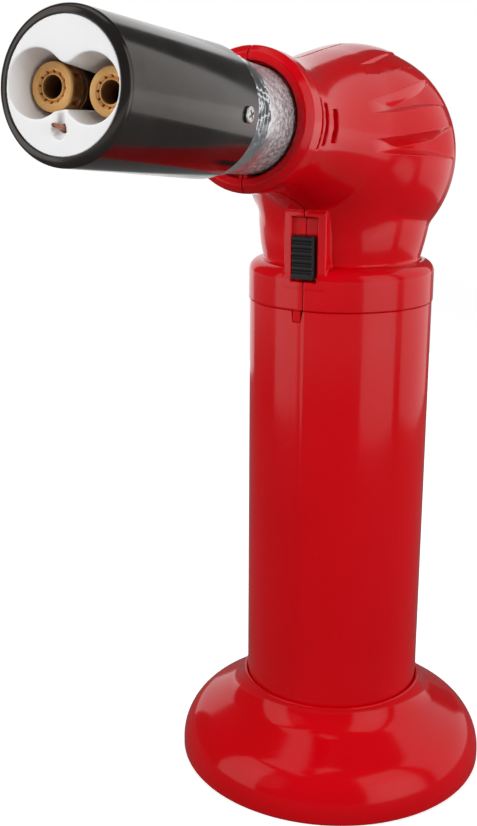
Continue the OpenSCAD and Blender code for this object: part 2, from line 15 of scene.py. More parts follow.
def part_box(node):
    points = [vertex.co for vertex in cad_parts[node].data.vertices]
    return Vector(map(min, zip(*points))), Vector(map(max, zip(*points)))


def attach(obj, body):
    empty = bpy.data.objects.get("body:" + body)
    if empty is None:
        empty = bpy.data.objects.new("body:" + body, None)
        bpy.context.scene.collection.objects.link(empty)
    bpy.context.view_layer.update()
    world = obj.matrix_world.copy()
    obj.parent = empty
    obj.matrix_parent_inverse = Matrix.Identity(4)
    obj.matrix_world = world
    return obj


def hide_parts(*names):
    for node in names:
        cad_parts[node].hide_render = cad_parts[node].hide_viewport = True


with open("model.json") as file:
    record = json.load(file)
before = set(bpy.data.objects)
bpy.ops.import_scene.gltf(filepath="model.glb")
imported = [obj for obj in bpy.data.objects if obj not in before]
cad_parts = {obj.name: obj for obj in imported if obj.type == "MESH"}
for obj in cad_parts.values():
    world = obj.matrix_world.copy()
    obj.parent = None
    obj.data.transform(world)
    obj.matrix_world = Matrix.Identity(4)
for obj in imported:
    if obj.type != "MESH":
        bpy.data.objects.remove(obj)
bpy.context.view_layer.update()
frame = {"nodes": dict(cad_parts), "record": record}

MM = 0.001


# ---------------------------------------------------------------- sizes, in mm

def node_box(node):
    """Lowest and highest corner of a CAD node, in mm."""
    low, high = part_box(node)
    return np.array(low) / MM, np.array(high) / MM


TUBE_LOW, TUBE_HIGH = node_box("body_tube")
STAND_HIGH = node_box("base_stand")[1]
TUBE_R = TUBE_HIGH[0]
TUBE_WALL = 1.4
SEAM_Z = TUBE_HIGH[2]
STAND_R = STAND_HIGH[0]
STAND_H = STAND_HIGH[2]

BAND_R = 24.25
BAND_TOP = 142.9
BAND_ROUND = 3.2
NECK_R = 20.4
NECK_FULL_R = 22.5
NECK_LOW = 143.0
NECK_FULL_Z = 158.0
NECK_LEAN = 1.5
BULB_C = np.array([0.0, 3.6, 169.0])
BULB_R = 27.3
HEAD_WALL = 2.0

# front tip's angle from the rear pole, the angles round the barrel's axis at tip and rear, depth
FLUTES = ((140, 57, 61, 0.55), (148, 30.5, 37.5, 2.3), (149, 3.5, 9.5, 2.3))
FLUTE_REAR = 70
FLUTE_TIP_W = 0.9              # half width at the tip, and how much it grows
FLUTE_GROWTH = 3.7
VENTS = ((47.8, 22, 0.65), (45.0, 18.5, 0.8), (40.3, 14.5, 1.15))   # station, half angle, half width

# boxes let into the head: centre, then half sizes
BEZEL = ((0, -20.4, 147.4), (5.6, 4.0, 9.4))
CHANNEL = ((0, -26.5, 147.5), (3.35, 4.0, 7.9))
TONGUE_SLOT = ((0, -22, 146.6), (1.6, 6, 4.0))
BUTTON_Z = 162.0
BUTTON_WINDOW = ((0, 25, BUTTON_Z), (6.9, 12, 10.3))
BUTTON_PROUD = 2.5
SLIDER_Z = 145.7
SLIDER_PITCH = 1.8
LEVER_Z = 135.7
LEVER_AZIMUTH = 130            # degrees round the tube from +X
LEVER_SWING = 35.5             # half angle of the lever's slot
LEVER_H = 1.5                  # half height of its slot, ring and knob
LEVER_HUB_R = 3.66
LEVER_KNOB_AT = 27.2

AXIS_Z = 173.48
TILT = math.radians(5.77)
HORN_R = 14.6
HORN_ROOT_R = 22.2
HORN_LEN = 43.0
COLLAR_R = 15.7
COLLAR_BACK = 50.2
COLLAR_FRONT = 56.2
COLLAR_BORE = 12.35
COLLAR_BEVEL = 1.5
BARREL_R = 13.43
BARREL_FRONT = 122.6
BARREL_BACK = 76.0
BARREL_BORE_R = 12.25
LIP_R = 11.55
SLEEVE_R = 11.9
SLEEVE_WALL = 1.2
SLEEVE_BACK = 44.2
SLEEVE_FRONT = BARREL_BACK + 7
THREAD = (67.6, 75.8)          # first and last station of the sleeve's thread
BURNER_X = 6.0
BURNER_R = 4.3
BURNER_BORE_R = 2.0
BURNER_SLOTS = 12
BURNER_ROLL = math.radians(4)
BURNER_FACE = BARREL_FRONT - 5.5
BURNER_BACK = 106.0
CERAMIC_FACE = BARREL_FRONT - 0.1
CERAMIC_BACK = 108.0
LOBE_X = 5.45
LOBE_R = 4.95                  # inside the ceramic, and how much it opens towards the face
LOBE_FLARE = 0.87
ELECTRODE_U = -6.8
THREAD_PITCH = 1.4
SCREW_S = BARREL_BACK + 4.3
SCREW_SINK = 0.1

BOSSES = ((10.0, 187.0, 13.0), (13.0, 143.0, 11.0))   # y, z, screw seat depth
BOSS_R = 3.0
SEAT_R = 2.6
SCREW_HOLE_R = 1.2
BARREL_SCREW = (1.72, 0.8, 1.0)     # head radius, head height, shank radius
CASE_SCREW = (2.2, 1.4, 1.15)
PIVOT = (-8.0, 146.0)          # y and z of the gas lever's pin
PIN_R = 1.25
PIN_BOSS_R = 2.8
SEAM_GAP = 0.07
TAB = ((-1.75, 0.7 - TUBE_R, SEAM_Z - 1.0), (1.08, 0.64, 1.83))   # fills the tube's notch

SHOULDER_R = 13.0
SHOULDER_C = np.array([STAND_R - SHOULDER_R, 2.6])
SHOULDER_ARC = 61
SHOULDER_TURN = math.radians(SHOULDER_ARC)
FLARE_R = 9.0
FLARE_ARC = 180 + SHOULDER_ARC
FLARE_C = (SHOULDER_C
           + (SHOULDER_R + FLARE_R) * np.array([math.cos(SHOULDER_TURN), math.sin(SHOULDER_TURN)])
           + 7.4 * np.array([-math.sin(SHOULDER_TURN), math.cos(SHOULDER_TURN)]))
SOCKET_R = TUBE_R + 0.05
SOCKET_FLOOR = 8.0
SKIRT_WALL = 2.2
STAND_RIBS = 8
NOTCH = (-96.94, -91.43)       # degrees round the tube
NOTCH_DEPTH = 2.9
HEAD_CELL = 0.42

# ---------------------------------------------------------------- colours, light and camera

RED = (0.6, 0.0, 0.003)
RED_LIGHT = (0.64, 0.0, 0.005)
ROOM_LEVEL = 0.08              # light from the unseen room
BACKDROP_LEVEL = 1.0           # what the camera sees behind the floor
CAMERA_PLACE = (0.11966, -0.28821, 0.18511)
CAMERA_AIM = (-0.4454, 0.8556, -0.2632)
CAMERA_ROLL = math.radians(0.14)


# ---------------------------------------------------------------- frames

FORWARD = np.array([0.0, -math.cos(TILT), math.sin(TILT)])
UPWARD = np.array([0.0, math.sin(TILT), math.cos(TILT)])
ACROSS = np.array([1.0, 0.0, 0.0])
AXIS_ORIGIN = np.array([0.0, 0.0, AXIS_Z])


def frame_matrix(origin, x_dir, y_dir, z_dir):
    """A 4x4 matrix that places local points, in mm, in the shared frame."""
    matrix = np.eye(4)
    matrix[:3, 0] = x_dir
    matrix[:3, 1] = y_dir
    matrix[:3, 2] = z_dir
    matrix[:3, 3] = origin
    return matrix


def turned(matrix, angle):
    """The matrix turned by angle about its own Z axis."""
    turn = np.eye(4)
    turn[:2, :2] = [[math.cos(angle), -math.sin(angle)], [math.sin(angle), math.cos(angle)]]
    return matrix @ turn


UPRIGHT = np.eye(4)
BARREL_FRAME = frame_matrix(AXIS_ORIGIN, ACROSS, UPWARD, FORWARD)
BURNER_FRAME = turned(BARREL_FRAME, -BURNER_ROLL)


# ---------------------------------------------------------------- distance fields

def smooth_min(a, b, k):
    """Union with a fillet of about k."""
    h = np.clip(0.5 + 0.5 * (b - a) / k, 0, 1)
    return b * (1 - h) + a * h - k * h * (1 - h)


def smooth_max(a, b, k):
    """Intersection with a rounded edge of about k."""
    return -smooth_min(-a, -b, k)


def cut(a, b, k):
    """Shape a with shape b taken away."""
    return smooth_max(a, -b, k)


def step(low, high, value):
    """Smooth ramp from 0 at low to 1 at high."""
    t = np.clip((value - low) / (high - low), 0, 1)
    return t * t * (3 - 2 * t)


def rounded_box(x, y, z, half, rounding):
    """Box round the origin, given by its half sizes."""
    qx = np.abs(x) - half[0] + rounding
    qy = np.abs(y) - half[1] + rounding
    qz = np.abs(z) - half[2] + rounding
    outside = np.sqrt(np.maximum(qx, 0) ** 2 + np.maximum(qy, 0) ** 2 + np.maximum(qz, 0) ** 2)
    return outside + np.minimum(np.maximum(np.maximum(qx, qy), qz), 0) - rounding


def box_at(p, centre, half, rounding):
    """Box round a centre, given by its half sizes."""
    return rounded_box(p[:, 0] - centre[0], p[:, 1] - centre[1], p[:, 2] - centre[2], half, rounding)


def rounded_cylinder(radial, along, radius, half, rounding):
    """Cylinder from distances to and along its axis, given by its half length."""
    qr = radial - radius + rounding
    qs = np.abs(along) - half + rounding
    outside = np.sqrt(np.maximum(qr, 0) ** 2 + np.maximum(qs, 0) ** 2)
    return outside + np.minimum(np.maximum(qr, qs), 0) - rounding


def gradient(field, points, h):
    """Slope of a field at each point, from differences over 2h."""
    out = np.empty_like(points)
    for axis in range(3):
        offset = np.zeros(3)
        offset[axis] = h
        out[:, axis] = (field(points + offset) - field(points - offset)) / (2 * h)
    return out


def field_mesh(field, low, high, cell):
    """Points, quads and normals of a distance field's surface inside a box."""
    axes = [np.arange(low[i], high[i] + cell, cell) for i in range(3)]
    shape = [len(a) for a in axes]
    values = np.empty(shape, np.float32)
    plane = np.stack(np.meshgrid(axes[1], axes[2], indexing="ij"), -1).reshape(-1, 2)
    slab = max(1, 400_000 // len(plane))
    for start in range(0, shape[0], slab):
        xs = axes[0][start:start + slab]
        points = np.empty((len(xs) * len(plane), 3))
        points[:, 0] = np.repeat(xs, len(plane))
        points[:, 1:] = np.tile(plane, (len(xs), 1))
        values[start:start + slab] = field(points).reshape(len(xs), shape[1], shape[2])
    grid = openvdb.FloatGrid(3 * cell)
    grid.copyFromArray(np.clip(values, -3 * cell, 3 * cell).astype(np.float32))
    points, quads = grid.convertToQuads(isovalue=0.0)
    points = np.array(low) + np.asarray(points, float) * cell
    quads = np.asarray(quads, int)
    for _ in range(4):
        slope = gradient(field, points, 0.1 * cell)
        square = np.maximum((slope ** 2).sum(1), 0.05)
        move = -(field(points) / square)[:, None] * slope
        length = np.maximum(np.linalg.norm(move, axis=1), 1e-9)
        points += move * np.minimum(1, 0.4 * cell / length)[:, None]
    normals = gradient(field, points, 0.3 * cell)
    normals /= np.maximum(np.linalg.norm(normals, axis=1), 1e-9)[:, None]
    corners = points[quads]
    face_normals = np.cross(corners[:, 2] - corners[:, 0], corners[:, 3] - corners[:, 1])
    if (face_normals * normals[quads[:, 0]]).sum() < 0:
        quads = quads[:, ::-1]
    return points, quads, normals


def field_piece(name, field, low, high, cell, matrix=UPRIGHT):
    """One piece from a field, sampled between two corners of a box."""
    points, quads, normals = field_mesh(field, low, high, cell)
    return make_piece(name, points, quads.tolist(), matrix, normals)


def make_piece(name, points, faces, matrix=UPRIGHT, normals=None):
    """A mesh object from local points in mm."""
    points = np.asarray(points, float)
    placed = (points @ matrix[:3, :3].T + matrix[:3, 3]) * MM
    mesh = bpy.data.meshes.new(name)
    mesh.from_pydata(placed.tolist(), [], faces)
    mesh.validate()
    mesh.update()
    for polygon in mesh.polygons:
        polygon.use_smooth = True
    piece = bpy.data.objects.new(name, mesh)
    bpy.context.collection.objects.link(piece)
    if normals is not None:
        mesh.normals_split_custom_set_from_vertices((normals @ matrix[:3, :3].T).tolist())
    return piece


# ---------------------------------------------------------------- lathed outlines

def rounded_outline(corners, steps=5):
    """Outline points (radius, height) from corners (radius, height, rounding), closed."""
    out = []
    count = len(corners)
    for i, (r, z, rounding) in enumerate(corners):
        here = np.array([r, z])
        if rounding <= 0:
            out.append(here)
            continue
        before = np.array(corners[i - 1][:2]) - here
        after = np.array(corners[(i + 1) % count][:2]) - here
        before = here + before / np.linalg.norm(before) * rounding
        after = here + after / np.linalg.norm(after) * rounding
        for k in range(steps + 1):
            t = k / steps
            out.append((1 - t) ** 2 * before + 2 * t * (1 - t) * here + t * t * after)
    return np.array(out)


def lathe(name, outline, matrix=UPRIGHT, segments=160, warp=None, extra=(), ribs=()):
    """Turns a closed outline about the frame's Z axis. warp may move the points, extra adds
    angles in degrees, and ribs are flat plates (points, faces) that go into the same mesh."""
    angles = np.linspace(0, 2 * math.pi, segments, endpoint=False)
    angles = np.sort(np.concatenate([angles, np.radians(np.array(extra, float)) % (2 * math.pi)]))
    segments = len(angles)
    count = len(outline)
    points = np.empty((segments, count, 3))
    points[:, :, 0] = np.cos(angles)[:, None] * outline[None, :, 0]
    points[:, :, 1] = np.sin(angles)[:, None] * outline[None, :, 0]
    points[:, :, 2] = outline[None, :, 1]
    points = points.reshape(-1, 3)
    if warp is not None:
        points = warp(points)
    faces = []
    for i in range(segments):
        j = (i + 1) % segments
        for k in range(count):
            m = (k + 1) % count
            faces.append((i * count + k, j * count + k, j * count + m, i * count + m))
    area = 0.5 * np.sum(outline[:, 0] * np.roll(outline[:, 1], -1)
                        - np.roll(outline[:, 0], -1) * outline[:, 1])
    if area < 0:
        faces = [face[::-1] for face in faces]
    for rib_points, rib_faces in ribs:
        faces += [tuple(len(points) + i for i in face) for face in rib_faces]
        points = np.concatenate([points, rib_points])
    piece = make_piece(name, points, faces, matrix)
    piece.data.set_sharp_from_angle(angle=math.radians(35))
    return piece


def arc_points(centre, radius, start, end, count):
    """Points on an arc between two angles in degrees."""
    angles = np.radians(np.linspace(start, end, count))
    return np.stack([centre[0] + radius * np.cos(angles), centre[1] + radius * np.sin(angles)], 1)


# ---------------------------------------------------------------- shape of the head

def barrel_coordinates(p):
    """Distance along the barrel's axis, height above it and distance from it."""
    along = -p[:, 1] * math.cos(TILT) + (p[:, 2] - AXIS_Z) * math.sin(TILT)
    up = p[:, 1] * math.sin(TILT) + (p[:, 2] - AXIS_Z) * math.cos(TILT)
    return along, up, np.hypot(p[:, 0], up)


def horn_radius(along):
    """The horn narrows from the ball to its mouth."""
    t = np.clip(along, 0, HORN_LEN) / HORN_LEN
    return HORN_R + (HORN_ROOT_R - HORN_R) * np.cos(0.5 * math.pi * t) ** 2


def neck_radius(z):
    """The neck widens from the band up to the ball."""
    drop = (NECK_FULL_Z - np.clip(z, NECK_LOW, NECK_FULL_Z)) / (NECK_FULL_Z - NECK_LOW)
    return NECK_FULL_R - (NECK_FULL_R - NECK_R) * drop ** 2


def head_body(p, wall=0.0):
    """Band, neck, ball and horn, joined with fillets. wall moves the surface inwards."""
    radial = np.hypot(p[:, 0], p[:, 1])
    along, _, around = barrel_coordinates(p)
    low = SEAM_Z - 5 if wall else SEAM_Z
    half = (BAND_TOP - wall - low) / 2
    band = rounded_cylinder(radial, p[:, 2] - low - half, BAND_R - wall, half, BAND_ROUND - wall)
    if not wall:
        skirt = rounded_cylinder(radial, p[:, 2] - low - 4, BAND_R, 4, 0.35)
        band = np.minimum(band, skirt)
    lean = NECK_LEAN * step(NECK_LOW, NECK_FULL_Z, p[:, 2])
    around_neck = np.hypot(p[:, 0], p[:, 1] - lean)
    neck = np.maximum(around_neck - neck_radius(p[:, 2]) + wall, p[:, 2] - 166)
    neck = np.maximum(neck, low - p[:, 2])
    ball = np.linalg.norm(p - BULB_C, axis=1) - BULB_R + wall
    horn = smooth_max(around - horn_radius(along) + wall, along - COLLAR_BACK - 1, 0.5)
    horn = np.maximum(horn, -along - 2)
    upper = smooth_min(ball, horn, 3.0)
    lower = smooth_min(band, neck, 0.9)
    return smooth_min(upper, lower, 5.0 - 4.4 * step(-21, -9, p[:, 1]))


def flute_depth(p):
    """Depth of the leaf-shaped scoops on each side of the ball. Each runs from a narrow front
    tip to a wide rear end, and is deepest half way."""
    reach = np.maximum(np.linalg.norm(p - BULB_C, axis=1), 1e-6)
    v = (p - BULB_C) / reach[:, None]
    polar = np.degrees(np.arccos(np.clip(-v @ FORWARD, -1, 1)))
    angle = np.degrees(np.arctan2(v @ UPWARD, np.abs(v[:, 0])))
    depth = np.zeros(len(p))
    for tip, tip_angle, rear_angle, deepest in FLUTES:
        t = (tip - polar) / (tip - FLUTE_REAR)
        inside = np.clip(t, 0, 1)
        off = angle - tip_angle - (rear_angle - tip_angle) * inside
        off = np.radians(off) * BULB_R * np.maximum(np.sin(np.radians(polar)), 0.2)
        width = FLUTE_TIP_W + FLUTE_GROWTH * inside ** 0.7
        wall = np.minimum((width - off) * 0.95, (width + off) * 1.5)
        floor = deepest * step(0, 0.25, t) * (1 - step(0.5, 0.9, t))
        leaf = smooth_min(wall, floor, 0.15)
        depth = np.maximum(depth, np.where((t > 0) & (t < 1), leaf, 0))
    return depth


def collar_ring(along, around):
    """Raised ring round the horn's mouth, with a bevelled front edge."""
    half = (COLLAR_FRONT - COLLAR_BACK) / 2
    ring = rounded_cylinder(around, along - COLLAR_BACK - half, COLLAR_R, half, 0.5)
    bevel = (around - COLLAR_R + along - COLLAR_FRONT + COLLAR_BEVEL) * 0.7
    return smooth_max(ring, bevel, 0.25)


def inner_ribs(p, solid):
    """Rib that holds the sleeve, screw bosses and pin bosses, all kept inside the head."""
    x, y, z = p[:, 0], p[:, 1], p[:, 2]
    along, _, around = barrel_coordinates(p)
    rib = np.maximum(np.abs(around - 13) - 1.15, np.abs(along - 50.4) - 3.3)
    for by, bz, _ in BOSSES:
        rib = np.minimum(rib, np.hypot(y - by, z - bz) - BOSS_R)
    pin_boss = np.maximum(np.hypot(y - PIVOT[0], z - PIVOT[1]) - PIN_BOSS_R, 4.8 - np.abs(x))
    return np.maximum(np.minimum(rib, pin_boss), solid + 0.5)


def head_openings(p):
    """Every hole through the shell, each with its edge rounding."""
    x, y, z = p[:, 0], p[:, 1], p[:, 2]
    along, up, around = barrel_coordinates(p)
    pin_hole = np.maximum(np.hypot(y - PIVOT[0], z - PIVOT[1]) - PIN_R, np.abs(x) - 10)
    openings = [(pin_hole, 0.1), (box_at(p, *CHANNEL, 0.25), 0.25),
                (box_at(p, *TONGUE_SLOT, 0.2), 0.2), (box_at(p, *BUTTON_WINDOW, 1.0), 0.35)]
    for by, bz, depth in BOSSES:
        bore = np.hypot(y - by, z - bz)
        seat = np.maximum(bore - SEAT_R, x + depth)
        hole = np.maximum(bore - SCREW_HOLE_R, x - 9)
        openings.append((np.minimum(seat, hole), 0.25))
    turn = np.degrees(np.arctan2(up, np.abs(x)))
    for station, half_angle, half_width in VENTS:
        reach = np.radians(np.abs(turn) - half_angle) * HORN_R
        slit = smooth_max(np.abs(along - station) - half_width, reach, 0.4)
        openings.append((np.maximum(slit, horn_radius(along) - 1.3 - around), 0.25))
    swing = np.degrees(np.arctan2(y, x))
    slot = np.maximum(np.abs(z - LEVER_Z) - LEVER_H,
                      (np.abs(swing - LEVER_AZIMUTH) - LEVER_SWING) * 0.42)
    openings.append((np.maximum(slot, 19 - np.hypot(x, y)), 0.2))
    return openings


def head_half(side):
    """The field of one half of the head: side is 1 for +X and -1 for -X."""
    def field(p):
        x, y, z = p[:, 0], p[:, 1], p[:, 2]
        along, up, around = barrel_coordinates(p)
        bezel = smooth_max(box_at(p, *BEZEL, 0.5), np.hypot(x, y) - BAND_R + 0.25, 0.4)
        solid = smooth_min(head_body(p), bezel, 0.5)
        solid = smooth_min(solid, collar_ring(along, around), 0.6)
        scoop = flute_depth(p)
        solid = solid + scoop
        inside = head_body(p, HEAD_WALL) + scoop
        inside = np.minimum(inside, np.maximum(around - COLLAR_BORE, 30 - along))
        shell = cut(solid, inside, 0.5)
        shell = smooth_min(shell, inner_ribs(p, solid), 0.4)
        lug = rounded_box(x, up + 12.6, along - 53, (1.0, 1.2, 2.9), 0.3)
        shell = np.minimum(shell, lug)
        for opening, rounding in head_openings(p):
            shell = cut(shell, opening, rounding)
        shell = smooth_max(shell, SEAM_Z + 0.03 - z, 0.1)
        half = smooth_max(shell, SEAM_GAP - side * x, 0.22)
        if side < 0:
            half = np.minimum(half, box_at(p, *TAB, 0.1))
        return half
    return field


# ---------------------------------------------------------------- pieces

def settle(piece, body, slot, material, *nodes):
    """Puts a piece on its body, in place of its CAD nodes, with its material. The slot argument is not
    used.
    """
    piece.data.materials.clear()
    piece.data.materials.append(material)
    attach(piece, body)
    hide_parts(*nodes)


def make_head(material):
    """The two halves of the head, each its own moulding with a softly rounded seam."""
    for node, side in (("housing_left", 1), ("housing_right", -1)):
        low, high = node_box(node)
        low = low - 1
        high = high + 1
        piece = field_piece(node + "_shell", head_half(side), low, high, HEAD_CELL)
        settle(piece, "torch", "red_plastic", material, node)


def stand_rib(angle):
    """One of the thin plates between the stand's socket and its skirt."""
    half = 0.7
    middle = SKIRT_WALL / 2
    skirt = arc_points(SHOULDER_C, SHOULDER_R - middle, 17, SHOULDER_ARC, 6)
    flare = arc_points(FLARE_C, FLARE_R + middle, FLARE_ARC, 225, 3)
    outline = np.concatenate([[[25.2, 6.2]], skirt, flare, [[25.2, 18]]])
    count = len(outline)
    c, s = math.cos(math.radians(angle)), math.sin(math.radians(angle))
    points = []
    for side in (-half, half):
        for r, z in outline:
            points.append((r * c - side * s, r * s + side * c, z))
    faces = [tuple(range(count)), tuple(range(2 * count - 1, count - 1, -1))]
    for i in range(count):
        j = (i + 1) % count
        faces.append((j, i, count + i, count + j))
    return np.array(points), faces


def make_stand(material):
    """Flared foot, hollow below, with a socket for the tube held by eight ribs."""
    outline = [[40.4, 0.4], [40.6, 0.1]]
    outline += arc_points((STAND_R - 1.3, 1.3), 1.3, -90, 0, 7).tolist()
    outline += arc_points(SHOULDER_C, SHOULDER_R, 0, SHOULDER_ARC, 26).tolist()
    outline += arc_points(FLARE_C, FLARE_R, FLARE_ARC, 190, 20).tolist()
    outline += arc_points((SOCKET_R + 0.5, STAND_H - 0.45), 0.45, 20, 180, 8).tolist()
    outline += [[SOCKET_R, SOCKET_FLOOR], [18.3, SOCKET_FLOOR], [18, SOCKET_FLOOR - 0.3], [18, 6.3],
                [18.3, 6], [26.2, 6], [26.2, 17.2]]
    outline += arc_points(FLARE_C, FLARE_R + SKIRT_WALL, 228, FLARE_ARC, 6).tolist()
    outline += arc_points(SHOULDER_C, SHOULDER_R - SKIRT_WALL, SHOULDER_ARC, 0, 18).tolist()
    ribs = [stand_rib(360 / STAND_RIBS * (i + 0.5)) for i in range(STAND_RIBS)]
    piece = lathe("stand", np.array(outline), segments=240, ribs=ribs)
    settle(piece, "torch", "red_plastic", material, "base_stand")


def make_tube(material):
    """Tank sleeve with a notch in its rim for the head's tab."""
    inner = TUBE_R - TUBE_WALL
    outline = rounded_outline([(TUBE_R, TUBE_LOW[2], 0.3), (TUBE_R, SEAM_Z, 0.3),
                               (inner, SEAM_Z, 0.2), (inner, TUBE_LOW[2], 0.2)])

    def notch(points):
        angle = np.degrees(np.arctan2(points[:, 1], points[:, 0]))
        inside = (angle > NOTCH[0]) & (angle < NOTCH[1]) & (points[:, 2] > SEAM_Z - 1)
        points[inside, 2] -= NOTCH_DEPTH
        return points

    edges = [NOTCH[0], NOTCH[0] + 0.05, NOTCH[1] - 0.05, NOTCH[1]]
    piece = lathe("tube", outline, segments=240, warp=notch, extra=edges)
    settle(piece, "torch", "red_plastic", material, "body_tube")


def make_sleeve(material):
    """Crumpled bright sleeve with an uneven thread behind the barrel."""
    inner = SLEEVE_R - SLEEVE_WALL
    hidden = np.linspace(SLEEVE_BACK, 54, 14)
    stations = np.concatenate([hidden, np.arange(54.2, SLEEVE_FRONT, 0.16)])
    outline = [[SLEEVE_R, s] for s in stations]
    outline += [[SLEEVE_R, SLEEVE_FRONT], [inner, SLEEVE_FRONT], [inner, SLEEVE_BACK]]
    rng = np.random.default_rng(11)
    waves = [(rng.uniform(0.3, 1.7), rng.integers(3, 40), rng.uniform(0, 6.28), rng.uniform(0, 6.28))
             for _ in range(26)]

    def crumple(points):
        s = points[:, 2]
        angle = np.arctan2(points[:, 1], points[:, 0])
        radial = np.hypot(points[:, 0], points[:, 1])
        outer = radial > inner + 0.3
        wander = 0.12 * np.sin(5 * angle + 1) + 0.08 * np.sin(11 * angle)
        turn = (s + wander) / THREAD_PITCH - angle / (2 * math.pi)
        thread = np.maximum(np.cos(2 * math.pi * turn), 0) ** 1.5
        patchy = 0.85 + 0.15 * np.sin(3 * angle + 0.8 * s) * np.sin(7 * angle - 0.5 * s + 2)
        lift = 0.55 * thread * patchy
        lift = lift * step(THREAD[0], THREAD[0] + 1.2, s) * (1 - step(THREAD[1] - 0.8, THREAD[1], s))
        lift = lift - 0.3 * (1 - step(56, 69, s))
        for frequency, around, phase_a, phase_b in waves:
            ripple = np.sin(frequency * s * 2 + phase_a) * np.sin(around * angle + phase_b)
            lift = lift + 0.008 * ripple
        scale = np.where(outer, 1 + lift / SLEEVE_R, 1)
        points[:, 0] *= scale
        points[:, 1] *= scale
        return points

    piece = lathe("sleeve", np.array(outline), BARREL_FRAME, segments=420, warp=crumple)
    settle(piece, "torch", "silver_sleeve", material, "heat_sleeve")


def make_barrel(material):
    """Thin sheet barrel whose front edge rolls in over the ceramic."""
    outline = [[SLEEVE_R + 0.1, BARREL_BACK + 0.1]]
    outline += arc_points((BARREL_R - 0.35, BARREL_BACK + 0.35), 0.35, -90, 0, 5).tolist()
    outline += arc_points((BARREL_R - 1.15, BARREL_FRONT - 1.4), 1.15, 0, 66, 10).tolist()
    outline += arc_points((LIP_R + 0.22, BARREL_FRONT - 0.22), 0.22, 80, 180, 6).tolist()
    outline += [[LIP_R, BARREL_FRONT - 3], [BARREL_BORE_R, BARREL_FRONT - 3.7],
                [BARREL_BORE_R, BARREL_BACK + 8], [SLEEVE_R + 0.1, BARREL_BACK + 7.6]]
    piece = lathe("barrel_tube", np.array(outline), BARREL_FRAME, segments=240)
    settle(piece, "torch", "gunmetal", material, "barrel")


def ceramic_field(p):
    """Dished disc with a flared mouth of two lobes, a groove and a hole for the spark wire."""
    x, y, z = p[:, 0], p[:, 1], p[:, 2]
    radial = np.hypot(x, y)
    depth = CERAMIC_FACE - z
    middle = (CERAMIC_FACE + CERAMIC_BACK) / 2
    half = (CERAMIC_FACE - CERAMIC_BACK) / 2
    disc = rounded_cylinder(radial, z - middle, LIP_R - 0.03, half, 0.12)
    dish = 0.45 * (1 - step(0, 9.5, radial))
    disc = smooth_max(disc, z - CERAMIC_FACE + dish, 0.2)
    mouth = LOBE_R + LOBE_FLARE * np.clip(1 - depth / 13, 0, 1.1)
    lobes = np.hypot(np.abs(x) - LOBE_X, y) - mouth
    waist = np.maximum(np.abs(x) - 5, np.abs(y) - mouth + 2.05)
    mouth = smooth_max(smooth_min(lobes, waist, 0.9), radial - LIP_R + 0.35, 0.3)
    solid = cut(disc, mouth, 0.35)
    wire = np.hypot(x, y - ELECTRODE_U) - 0.75
    groove = np.maximum(np.hypot(x, depth - 0.5) - 0.95, np.abs(y + 5) - 2.6)
    scoop = np.sqrt(x ** 2 + (y - ELECTRODE_U + 0.5) ** 2 + (depth - 0.1) ** 2) - 1.45
    solid = cut(solid, smooth_min(groove, scoop, 0.5), 0.4)
    return cut(solid, wire, 0.2)


def make_ceramic(material):
    """White insert that the flames come through."""
    reach = LIP_R + 0.4
    low, high = (-reach, -reach, CERAMIC_BACK - 0.4), (reach, reach, CERAMIC_FACE + 0.4)
    piece = field_piece("ceramic_insert", ceramic_field, low, high, 0.2, BURNER_FRAME)
    settle(piece, "torch", "ceramic", material, "ceramic_nozzle")


def burner_field(side):
    """Turned flame holder: a bored face with a ring of slots, and windows round the side."""
    def field(p):
        x, y, z = p[:, 0] - side * BURNER_X, p[:, 1], p[:, 2]
        radial = np.hypot(x, y)
        angle = np.arctan2(y, x)
        middle = (BURNER_FACE + BURNER_BACK) / 2
        half = (BURNER_FACE - BURNER_BACK) / 2
        solid = rounded_cylinder(radial, z - middle, BURNER_R, half, 0.3)
        groove = np.maximum(np.abs(radial - BURNER_R) - 0.18, np.abs(z - BURNER_FACE + 4.2) - 0.35)
        solid = cut(solid, groove, 0.15)
        bevel = (BURNER_FACE - 0.45 - z + 1.3 * np.abs(radial - 2.5)) * 0.6
        solid = cut(solid, bevel, 0.15)
        solid = cut(solid, radial - BURNER_BORE_R, 0.25)
        pitch = 2 * math.pi / BURNER_SLOTS
        local = (angle + pitch / 2) % pitch - pitch / 2
        across = local * radial
        slot = rounded_box(radial - 2.66, across, z - BURNER_FACE + 0.6, (0.2, 0.17, 1.1), 0.1)
        window = rounded_box(radial - 4.4, across, z - BURNER_FACE + 2.1, (1.1, 0.62, 0.95), 0.15)
        solid = cut(solid, slot, 0.08)
        solid = cut(solid, window, 0.1)
        return cut(solid, np.maximum(radial - 3.2, z - 111.5), 0.2)
    return field


def make_burners(material):
    """The two brass flame holders."""
    for node, side in (("burner_head_left", 1), ("burner_head_right", -1)):
        reach = BURNER_R + 0.3
        low = (side * BURNER_X - reach, -reach, BURNER_BACK - 0.3)
        high = (side * BURNER_X + reach, reach, BURNER_FACE + 0.3)
        piece = field_piece(node + "_turned", burner_field(side), low, high, 0.12, BURNER_FRAME)
        settle(piece, "torch", "brass", material, node)


